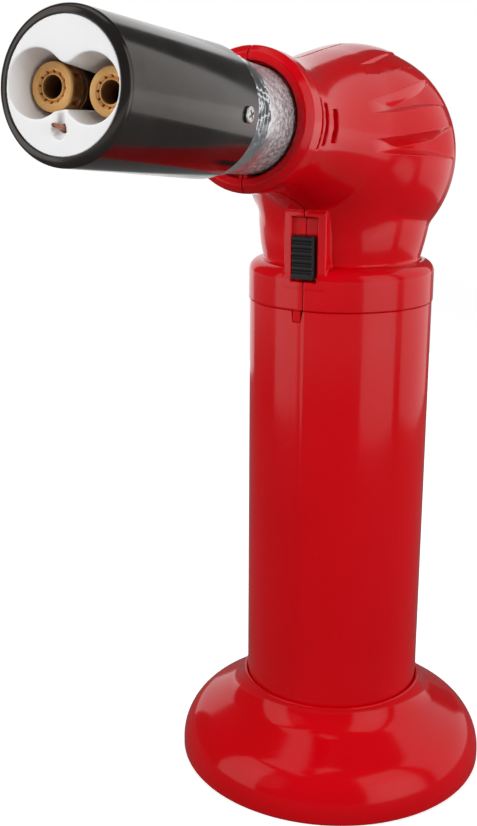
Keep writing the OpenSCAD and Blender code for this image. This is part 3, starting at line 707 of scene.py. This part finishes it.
def make_electrode(material):
    """Spark wire that bends up a little at its free end."""
    front = BARREL_FRONT
    route = np.array([(0, ELECTRODE_U, 64.1), (0, ELECTRODE_U, 90), (0, ELECTRODE_U, front - 3.2),
                      (0, ELECTRODE_U + 0.05, front - 1.9), (0, ELECTRODE_U + 0.15, front - 0.4),
                      (-0.05, ELECTRODE_U + 0.3, front + 0.9), (-0.1, ELECTRODE_U + 0.42, front + 1.5)])
    radii = [0.44, 0.44, 0.44, 0.44, 0.43, 0.4, 0.3]
    sides = 20
    points, faces = [], []
    for i, (centre, radius) in enumerate(zip(route, radii)):
        ahead = route[min(i + 1, len(route) - 1)] - route[max(i - 1, 0)]
        ahead = ahead / np.linalg.norm(ahead)
        right = np.cross(ahead, (0, 1, 0))
        right = right / np.linalg.norm(right)
        top = np.cross(right, ahead)
        for k in range(sides):
            a = 2 * math.pi * k / sides
            points.append(centre + radius * (math.cos(a) * right + math.sin(a) * top))
    for i in range(len(route) - 1):
        for k in range(sides):
            m = (k + 1) % sides
            faces.append((i * sides + k, (i + 1) * sides + k, (i + 1) * sides + m, i * sides + m))
    tip = len(points)
    points.append(route[-1] + (-0.02, 0.04, 0.12))
    for k in range(sides):
        faces.append((tip - sides + k, tip, tip - sides + (k + 1) % sides))
    faces.append(tuple(range(sides)))
    piece = make_piece("spark_wire", points, faces, BURNER_FRAME)
    settle(piece, "torch", "copper", material, "igniter_electrode")


def screw_field(p, head_r, head_h, shank_r, length):
    """A pan-head screw along +Z whose head sits on z = 0, with a cross recess."""
    x, y, z = p[:, 0], p[:, 1], p[:, 2]
    radial = np.hypot(x, y)
    head = rounded_cylinder(radial, z - head_h / 2, head_r, head_h / 2, head_h * 0.45)
    head = smooth_max(head, np.sqrt(radial ** 2 + (z + 2.2 * head_r) ** 2) - 2.2 * head_r - head_h, 0.2)
    shank = rounded_cylinder(radial, z + length / 2, shank_r, length / 2 + 0.2, 0.15)
    wide, thin = head_r * 0.58, head_r * 0.13
    cross = np.minimum(np.maximum(np.abs(x) - wide, np.abs(y) - thin),
                       np.maximum(np.abs(y) - wide, np.abs(x) - thin))
    cross = np.maximum(cross, head_h * 0.35 - z)
    return smooth_min(cut(head, cross, 0.1), shank, 0.1)


def screws_piece(name, seats, sizes, cell, material, node):
    """Several equal screws as one piece. A seat is a matrix with Z out of the head."""
    head_r, head_h, shank_r = sizes
    points, faces, normals = [], [], []
    for seat, length in seats:
        low = (-head_r - 0.3, -head_r - 0.3, -length - 0.5)
        high = (head_r + 0.3, head_r + 0.3, head_h + 0.3)
        p, q, n = field_mesh(lambda v: screw_field(v, head_r, head_h, shank_r, length), low, high, cell)
        faces.append(q + sum(len(x) for x in points))
        points.append(p @ seat[:3, :3].T + seat[:3, 3])
        normals.append(n @ seat[:3, :3].T)
    piece = make_piece(name, np.concatenate(points), np.concatenate(faces).tolist(), UPRIGHT,
                       np.concatenate(normals))
    settle(piece, "torch", "steel", material, node)


def make_screws(material):
    """Two screws that hold the barrel to the sleeve, and two that hold the head together."""
    seat_r = BARREL_R - SCREW_SINK
    seats = []
    for side in (1, -1):
        seat = BURNER_FRAME @ frame_matrix((side * seat_r, 0, SCREW_S), (0, 1, 0),
                                           (0, 0, side), (side, 0, 0))
        seats.append((turned(seat, 0.5), seat_r - SLEEVE_R))
    screws_piece("sleeve_screws", seats, BARREL_SCREW, 0.08, material, "barrel_screws")
    seats = []
    for i, (y, z, depth) in enumerate(BOSSES):
        seat = frame_matrix((-depth, y, z), (0, 1, 0), (0, 0, -1), (-1, 0, 0))
        seats.append((turned(seat, 0.3 + 0.9 * i), 8 + depth - 1.0))
    screws_piece("case_screws", seats, CASE_SCREW, 0.14, material, "housing_screws")


def button_field(p):
    """Hollow thumb button that follows the ball, with ridges, an inner flange and a post."""
    x, y, z = p[:, 0], p[:, 1], p[:, 2] - BUTTON_Z
    reach = np.linalg.norm(p - BULB_C, axis=1) - BULB_R - BUTTON_PROUD
    block = rounded_box(x, y - 29.6, z, (6.6, 15, 10), 1.1)
    block = smooth_max(block, reach, 1.4)
    block = cut(block, rounded_box(x, y - 10, z, (5.2, 12, 8.6), 0.3), 0.2)
    for i in range(-3, 4):
        ridge = np.hypot(y - 33.25 + 0.075 * i * i, z - 2.4 * i) - 1.7
        ridge = smooth_max(ridge, np.abs(x) - 4.7, 0.6)
        block = cut(block, ridge, 0.5)
    flange = rounded_box(x, y - 15.3, z, (8, 0.8, 11.4), 0.2)
    flange = cut(flange, rounded_box(x, y - 15, z, (5.2, 4, 8.6), 0.2), 0.1)
    post = rounded_cylinder(np.hypot(x, z + BUTTON_Z - 168.3), y - 18.25, 2.2, 4.75, 0.2)
    return np.minimum(np.minimum(block, flange), post)


def make_button(material):
    """Thumb button, on its own sliding body."""
    low, high = node_box("thumb_button")
    piece = field_piece("trigger_button", button_field, low - 0.8, high + 0.8, 0.25)
    settle(piece, "button", "black_plastic", material, "thumb_button")


def flame_lever_field(p):
    """Ring round the valve with an arm that ends in a knurled knob."""
    angle = math.radians(LEVER_AZIMUTH)
    out = p[:, 0] * math.cos(angle) + p[:, 1] * math.sin(angle)
    side = -p[:, 0] * math.sin(angle) + p[:, 1] * math.cos(angle)
    z = p[:, 2] - LEVER_Z
    radial = np.hypot(out, side)
    ring = rounded_cylinder(radial, z, 6.4, LEVER_H, 0.3)
    arm = rounded_box(out - 15.5, side, z, (11.6, 1.5, 1.0), 0.3)
    knob = rounded_cylinder(np.hypot(out - LEVER_KNOB_AT, side), z, 2.3, LEVER_H, 0.5)
    grip = np.arctan2(side, out - LEVER_KNOB_AT)
    knob = knob + 0.12 * (0.5 + 0.5 * np.cos(10 * grip))
    lever = smooth_min(smooth_min(ring, arm, 0.8), knob, 0.5)
    return cut(lever, radial - LEVER_HUB_R, 0.2)


def make_flame_lever(material):
    """Flame lever, which turns with its own body."""
    low, high = node_box("flame_lever")
    piece = field_piece("flame_dial", flame_lever_field, low - 0.6, high + 0.6, 0.22)
    settle(piece, "flame_lever", "black_plastic", material, "flame_lever")


def rib_row(out, up, last, radius):
    """Row of round ribs at equal pitch, numbered from 0 to last."""
    number = np.clip(np.round(up / SLIDER_PITCH), 0, last)
    return np.hypot(out, up - SLIDER_PITCH * number) - radius


def slider_field(p):
    """Ribbed plate with a ledge at its foot, and a tongue and a catch behind it."""
    x, y, z = p[:, 0], p[:, 1], p[:, 2] - SLIDER_Z
    plate = rounded_box(x, y + 23.6, z, (2.8, 0.95, 5.3), 0.25)
    ribs = np.minimum(rib_row(y + 24.62, z + 4.5, 5, 0.68), rib_row(y + 24.5, z + 3.6, 4, 0.34))
    ribs = smooth_max(ribs, np.abs(x) - 2.7, 0.3)
    ledge = rounded_box(x, y + 24.4, z + 4.9, (2.9, 1.0, 0.45), 0.2)
    tongue = rounded_box(x, y + 20.3, z + 1.2, (1.3, 2.6, 1.5), 0.15)
    catch = rounded_box(x, y + 17.5, z + 1.2, (2.6, 0.6, 2.0), 0.2)
    grip = smooth_min(smooth_min(plate, ribs, 0.25), ledge, 0.2)
    return np.minimum(np.minimum(grip, tongue), catch)


def make_slider(material):
    """Lock slider, on its own sliding body."""
    low, high = node_box("lock_slider")
    piece = field_piece("safety_slider", slider_field, low - 0.5, high + 0.5, 0.12)
    settle(piece, "lock_slider", "black_plastic", material, "lock_slider")


# ---------------------------------------------------------------- materials

class Nodes:
    """Small helper that adds and joins shader nodes."""

    def __init__(self, name):
        self.material = bpy.data.materials.new(name)
        self.material.use_nodes = True
        self.tree = self.material.node_tree
        self.shader = self.tree.nodes["Principled BSDF"]
        self.place = self.add("ShaderNodeTexCoord").outputs["Object"]

    def add(self, kind, **inputs):
        node = self.tree.nodes.new(kind)
        for name, value in inputs.items():
            self.put(node, name.replace("_", " "), value)
        return node

    def put(self, node, name, value):
        if isinstance(value, bpy.types.NodeSocket):
            self.tree.links.new(value, node.inputs[name])
        else:
            node.inputs[name].default_value = value

    def noise(self, scale, detail, rough=0.5, stretch=None):
        vector = self.place
        if stretch:
            mapping = self.add("ShaderNodeMapping", Vector=vector, Scale=stretch)
            vector = mapping.outputs[0]
        node = self.add("ShaderNodeTexNoise", Vector=vector, Scale=scale, Detail=detail,
                        Roughness=rough)
        return node.outputs[0]

    def along(self, direction):
        """Distance in metres along a direction of the shared frame."""
        node = self.tree.nodes.new("ShaderNodeVectorMath")
        node.operation = "DOT_PRODUCT"
        self.put(node, 0, self.place)
        self.put(node, 1, direction)
        return node.outputs["Value"]

    def ramp(self, value, low, high, a, b):
        """value from low..high becomes a..b, held at the ends."""
        node = self.add("ShaderNodeMapRange")
        self.put(node, "Value", value)
        self.put(node, "From Min", low)
        self.put(node, "From Max", high)
        self.put(node, "To Min", a)
        self.put(node, "To Max", b)
        return node.outputs[0]

    def mix(self, factor, a, b):
        node = self.tree.nodes.new("ShaderNodeMix")
        node.data_type = "RGBA"
        self.put(node, "Factor", factor)
        for socket, value in zip([s for s in node.inputs if s.type == "RGBA"], (a, b)):
            if isinstance(value, bpy.types.NodeSocket):
                self.tree.links.new(value, socket)
            else:
                socket.default_value = (*value, 1)
        return [s for s in node.outputs if s.type == "RGBA"][0]

    def bump(self, height, distance, strength, normal=None):
        node = self.add("ShaderNodeBump", Height=height, Distance=distance, Strength=strength)
        if normal is not None:
            self.put(node, "Normal", normal)
        return node.outputs[0]

    def edges(self, low, high):
        """0 on flat places and 1 on outside edges."""
        geometry = self.add("ShaderNodeNewGeometry")
        return self.ramp(geometry.outputs["Pointiness"], low, high, 0, 1)

    def set(self, **inputs):
        for name, value in inputs.items():
            self.put(self.shader, name.replace("_", " "), value)
        return self


def red_plastic():
    """Glossy moulded plastic with a faint orange peel, cloudy gloss and small dust marks."""
    n = Nodes("red_moulded")
    cloud = n.noise(35, 3)
    peel = n.noise(420, 2)
    dust = n.ramp(n.noise(900, 6, 0.7), 0.66, 0.75, 0, 1)
    colour = n.mix(n.ramp(cloud, 0.35, 0.7, 0, 1), RED, RED_LIGHT)
    colour = n.mix(n.ramp(dust, 0, 1, 0, 0.06), colour, (0.9, 0.5, 0.5))
    n.set(Base_Color=colour, Roughness=n.ramp(cloud, 0.3, 0.7, 0.1, 0.15))
    n.set(Specular_IOR_Level=0.36, IOR=1.5)
    n.set(Normal=n.bump(peel, 0.00002, 0.5))
    return n.material


def barrel_metal():
    """Dark polished nickel with fine turning marks and cloudy handling marks."""
    n = Nodes("dark_nickel")
    smudge = n.noise(60, 5, 0.6)
    lines = n.noise(30, 2, 0.5, (300, 1, 1))
    colour = n.mix(n.ramp(smudge, 0.35, 0.7, 0, 1), (0.062, 0.054, 0.049), (0.095, 0.085, 0.078))
    n.set(Base_Color=colour, Metallic=0.85, Roughness=n.ramp(smudge, 0.3, 0.75, 0.1, 0.2))
    n.set(Normal=n.bump(lines, 0.000004, 0.3), IOR=1.6)
    return n.material


def sleeve_metal():
    """Thin bright foil: speckled and dull by the collar, smoother over the thread."""
    n = Nodes("bright_foil")
    patches = n.noise(160, 5, 0.65)
    grain = n.noise(1100, 3, 0.7)
    ring = AXIS_ORIGIN @ FORWARD + COLLAR_FRONT
    smooth = n.ramp(n.along(FORWARD), (ring + 7) * MM, (ring + 13) * MM, 0, 1)
    dull = n.mix(n.ramp(grain, 0.4, 0.62, 0, 1), (0.3, 0.3, 0.31), (0.86, 0.86, 0.88))
    bright = n.mix(n.ramp(patches, 0.35, 0.65, 0, 1), (0.62, 0.63, 0.65), (0.92, 0.93, 0.95))
    n.set(Base_Color=n.mix(smooth, dull, bright), Metallic=n.ramp(smooth, 0, 1, 0.55, 0.95))
    n.set(Roughness=n.ramp(smooth, 0, 1, 0.42, 0.2))
    wrinkle = n.bump(patches, 0.00016, 0.6)
    n.set(Normal=n.bump(grain, 0.00007, 0.5, wrinkle))
    return n.material


def brass():
    """Turned brass: a bright face, sides browned by heat, painted shade that turns it near black
    further in, and small dark specks.
    """
    n = Nodes("turned_brass")
    tint = n.noise(240, 4, 0.6)
    marks = n.noise(2600, 2)
    face = n.mix(n.ramp(tint, 0.35, 0.68, 0, 1), (1.0, 0.6, 0.25), (0.9, 0.48, 0.16))
    side = n.mix(n.ramp(tint, 0.35, 0.68, 0, 1), (0.66, 0.36, 0.15), (0.5, 0.24, 0.09))
    station = n.along(FORWARD)
    front = AXIS_ORIGIN @ FORWARD + BURNER_FACE
    colour = n.mix(n.ramp(station, (front - 0.9) * MM, (front - 0.4) * MM, 0, 1), side, face)
    # painted shade: the brass is painted near black deeper inside the ceramic's mouth, where shade
    # falls
    painted_shade = n.ramp(station, (front - 6.5) * MM, (front - 3.2) * MM, 0.9, 0)
    colour = n.mix(painted_shade, colour, (0.02, 0.012, 0.008))
    speck = n.ramp(n.noise(1700, 4, 0.7), 0.66, 0.74, 0, 0.5)
    colour = n.mix(speck, colour, (0.16, 0.07, 0.03))
    n.set(Base_Color=colour, Metallic=0.8, Roughness=n.ramp(tint, 0.3, 0.7, 0.3, 0.45))
    n.set(Normal=n.bump(marks, 0.00002, 0.4))
    return n.material


def copper():
    """Heat-dulled copper wire."""
    n = Nodes("spark_copper")
    tint = n.noise(500, 4)
    colour = n.mix(n.ramp(tint, 0.35, 0.7, 0, 1), (0.62, 0.27, 0.16), (0.36, 0.15, 0.1))
    n.set(Base_Color=colour, Metallic=0.9, Roughness=n.ramp(tint, 0.3, 0.7, 0.32, 0.5))
    n.set(Normal=n.bump(n.noise(3000, 2), 0.00003, 0.4))
    return n.material


def ceramic():
    """Glazed white ceramic, faintly clouded, with a fine pressed grain."""
    n = Nodes("white_ceramic")
    cloud = n.noise(120, 4)
    colour = n.mix(n.ramp(cloud, 0.35, 0.7, 0, 1), (0.97, 0.97, 0.97), (0.93, 0.93, 0.94))
    n.set(Base_Color=colour, Roughness=n.ramp(cloud, 0.3, 0.7, 0.3, 0.42))
    n.set(Normal=n.bump(n.noise(1600, 3, 0.6), 0.00003, 0.5), Coat_Weight=0.2, Coat_Roughness=0.2)
    return n.material


def black_plastic():
    """Satin black plastic with a fine texture and pale wear on its edges."""
    n = Nodes("satin_black")
    grain = n.noise(1400, 3, 0.6)
    worn = n.edges(0.52, 0.62)
    colour = n.mix(n.ramp(worn, 0, 1, 0, 0.35), (0.012, 0.012, 0.013), (0.09, 0.09, 0.095))
    n.set(Base_Color=colour, Roughness=n.ramp(grain, 0.3, 0.7, 0.36, 0.5))
    n.set(Normal=n.bump(grain, 0.00004, 0.5))
    return n.material


def steel():
    """Bright plated steel with fine scratches."""
    n = Nodes("plated_steel")
    lines = n.noise(90, 3, 0.6, (1, 40, 1))
    cloud = n.noise(260, 4)
    colour = n.mix(n.ramp(cloud, 0.35, 0.7, 0, 1), (0.62, 0.62, 0.63), (0.8, 0.8, 0.79))
    n.set(Base_Color=colour, Metallic=1.0, Roughness=n.ramp(cloud, 0.3, 0.7, 0.18, 0.34))
    n.set(Normal=n.bump(lines, 0.00001, 0.4))
    return n.material


# two tones, roughness, grain scale and grain depth
POLYMERS = {
    "grey_plastic": ("grey_moulded", (0.12, 0.12, 0.125), (0.17, 0.17, 0.175), 0.45, 900, 0.00003),
    "white_plastic": ("natural_nylon", (0.72, 0.71, 0.66), (0.8, 0.79, 0.75), 0.4, 700, 0.00003),
    "rubber": ("black_rubber", (0.015, 0.015, 0.016), (0.03, 0.03, 0.03), 0.7, 1200, 0.00005),
    "wire_black": ("black_cable", (0.012, 0.012, 0.012), (0.022, 0.022, 0.022), 0.4, 900, 0.00003),
    "wire_grey": ("grey_cable", (0.2, 0.2, 0.2), (0.26, 0.26, 0.26), 0.45, 900, 0.00003),
}


def soft_polymer(name, dark, light, rough, grain_scale, depth):
    """A plain moulded or drawn polymer: two close tones, a fine grain and uneven gloss."""
    n = Nodes(name)
    cloud = n.noise(180, 4)
    colour = n.mix(n.ramp(cloud, 0.35, 0.7, 0, 1), dark, light)
    n.set(Base_Color=colour, Roughness=n.ramp(cloud, 0.3, 0.7, rough - 0.08, rough + 0.08))
    n.set(Normal=n.bump(n.noise(grain_scale, 3), depth, 0.5))
    return n.material


def make_materials():
    """One material for each slot of the record."""
    materials = {slot: soft_polymer(*values) for slot, values in POLYMERS.items()}
    materials["red_plastic"] = red_plastic()
    materials["black_plastic"] = black_plastic()
    materials["brass"] = brass()
    materials["steel"] = steel()
    materials["copper"] = copper()
    materials["ceramic"] = ceramic()
    materials["silver_sleeve"] = sleeve_metal()
    materials["gunmetal"] = barrel_metal()
    return materials


def floor_material():
    """Pale paper. It looks near white to the camera, and is dark near the model in reflections."""
    n = Nodes("pale_paper")
    cloud = n.noise(3, 3)
    seen = n.add("ShaderNodeLightPath").outputs["Is Camera Ray"]
    colour = n.mix(n.ramp(cloud, 0.3, 0.7, 0, 1), (0.9, 0.9, 0.9), (0.93, 0.93, 0.93))
    colour = n.mix(seen, (0.18, 0.18, 0.18), colour)
    length = n.add("ShaderNodeVectorMath")
    length.operation = "LENGTH"
    n.put(length, 0, n.place)
    glow = n.ramp(length.outputs["Value"], 0.15, 1.6, 0.62, 0.97)
    far = n.ramp(length.outputs["Value"], 0.5, 1.2, 0, 0.35)
    n.set(Base_Color=colour, Roughness=0.8, Specular_IOR_Level=0.1)
    n.set(Emission_Color=(1, 1, 1, 1), Emission_Strength=n.ramp(seen, 0, 1, far, glow))
    return n.material


# ---------------------------------------------------------------- stage, lights and camera

def make_floor(material):
    """A wide, flat pale sheet."""
    rings, segments = 12, 64
    points, faces = [(0, 0, -0.05)], []
    for i in range(1, rings + 1):
        r = 9000 * (i / rings) ** 3
        for k in range(segments):
            a = 2 * math.pi * k / segments
            points.append((r * math.cos(a), r * math.sin(a), -0.05))
    for k in range(segments):
        faces.append((0, 1 + k, 1 + (k + 1) % segments))
    for i in range(rings - 1):
        base = 1 + i * segments
        for k in range(segments):
            m = (k + 1) % segments
            faces.append((base + k, base + segments + k, base + segments + m, base + m))
    floor = make_piece("floor", points, faces)
    floor.data.materials.append(material)


def add_light(name, place, size, brightness, aim=(0, 0, 0.1), mirrored=True):
    """A soft rectangular light that faces the model. Sizes in metres. mirrored lights show in gloss."""
    data = bpy.data.lights.new(name, "AREA")
    data.shape = "RECTANGLE"
    data.size, data.size_y = size
    data.energy = brightness * math.pi * size[0] * size[1]
    light = bpy.data.objects.new(name, data)
    light.location = place
    light.rotation_mode = "QUATERNION"
    light.rotation_quaternion = (Vector(aim) - Vector(place)).to_track_quat("-Z", "Y")
    light.visible_glossy = mirrored
    light.visible_camera = False
    bpy.context.collection.objects.link(light)


def around(azimuth, distance, height):
    """A point round the model. Azimuth 0 is in front of the barrel and 90 is to its right (+X)."""
    a = math.radians(azimuth)
    return distance * math.sin(a), -distance * math.cos(a), height


def light_studio():
    """A bright backdrop, a dim room, upright panels, a top panel and two unseen fills."""
    world = bpy.data.worlds.new("studio")
    world.use_nodes = True
    tree = world.node_tree
    seen = tree.nodes.new("ShaderNodeLightPath").outputs["Is Camera Ray"]
    level = tree.nodes.new("ShaderNodeMapRange")
    level.inputs["To Min"].default_value = ROOM_LEVEL
    level.inputs["To Max"].default_value = BACKDROP_LEVEL
    tree.links.new(seen, level.inputs["Value"])
    tree.links.new(level.outputs[0], tree.nodes["Background"].inputs["Strength"])
    tree.nodes["Background"].inputs["Color"].default_value = (1, 1, 1, 1)
    bpy.context.scene.world = world
    upright = (0, 0, 0.32)
    add_light("panel_right", around(72, 0.42, 0.32), (0.34, 0.66), 0.9, aim=upright)
    add_light("panel_back", around(135, 0.42, 0.32), (0.5, 0.66), 0.8, aim=upright)
    add_light("panel_left", around(-46, 0.5, 0.32), (0.3, 0.66), 0.9, aim=upright)
    add_light("panel_rear_left", around(-140, 0.5, 0.32), (0.5, 0.66), 0.9, aim=upright)
    add_light("panel_top", (-0.12, -0.2, 0.75), (0.4, 0.4), 0.75)
    add_light("fill_front", around(-30, 1.3, 0.7), (0.8, 0.8), 5.6, mirrored=False)
    add_light("fill_right", around(75, 1.2, 0.4), (0.6, 0.8), 4.8, mirrored=False)


def place_camera():
    """The viewpoint is in front of and above the model, to its right."""
    data = bpy.data.cameras.new("camera")
    data.sensor_width = 36
    data.lens = 51.516
    data.clip_start = 0.01
    data.clip_end = 60
    camera = bpy.data.objects.new("camera", data)
    camera.location = CAMERA_PLACE
    camera.rotation_mode = "QUATERNION"
    aim = Vector(CAMERA_AIM).to_track_quat("-Z", "Y")
    camera.rotation_quaternion = aim @ Quaternion((0, 0, 1), CAMERA_ROLL)
    bpy.context.collection.objects.link(camera)
    bpy.context.scene.camera = camera


def dress_cad_nodes(materials):
    """The CAD nodes that keep their own shape get their slot's material."""
    for part in frame["record"]["subparts"]:
        slots = frame["nodes"][part["node"]].data.materials
        slots.clear()
        slots.append(materials[part["material_slot"]])


def main():
    place_camera()
    light_studio()
    make_floor(floor_material())
    materials = make_materials()
    dress_cad_nodes(materials)
    make_head(materials["red_plastic"])
    make_stand(materials["red_plastic"])
    make_tube(materials["red_plastic"])
    make_sleeve(materials["silver_sleeve"])
    make_barrel(materials["gunmetal"])
    make_ceramic(materials["ceramic"])
    make_burners(materials["brass"])
    make_electrode(materials["copper"])
    make_screws(materials["steel"])
    make_button(materials["black_plastic"])
    make_flame_lever(materials["black_plastic"])
    make_slider(materials["black_plastic"])
    bpy.context.scene.view_settings.view_transform = "Standard"


main()
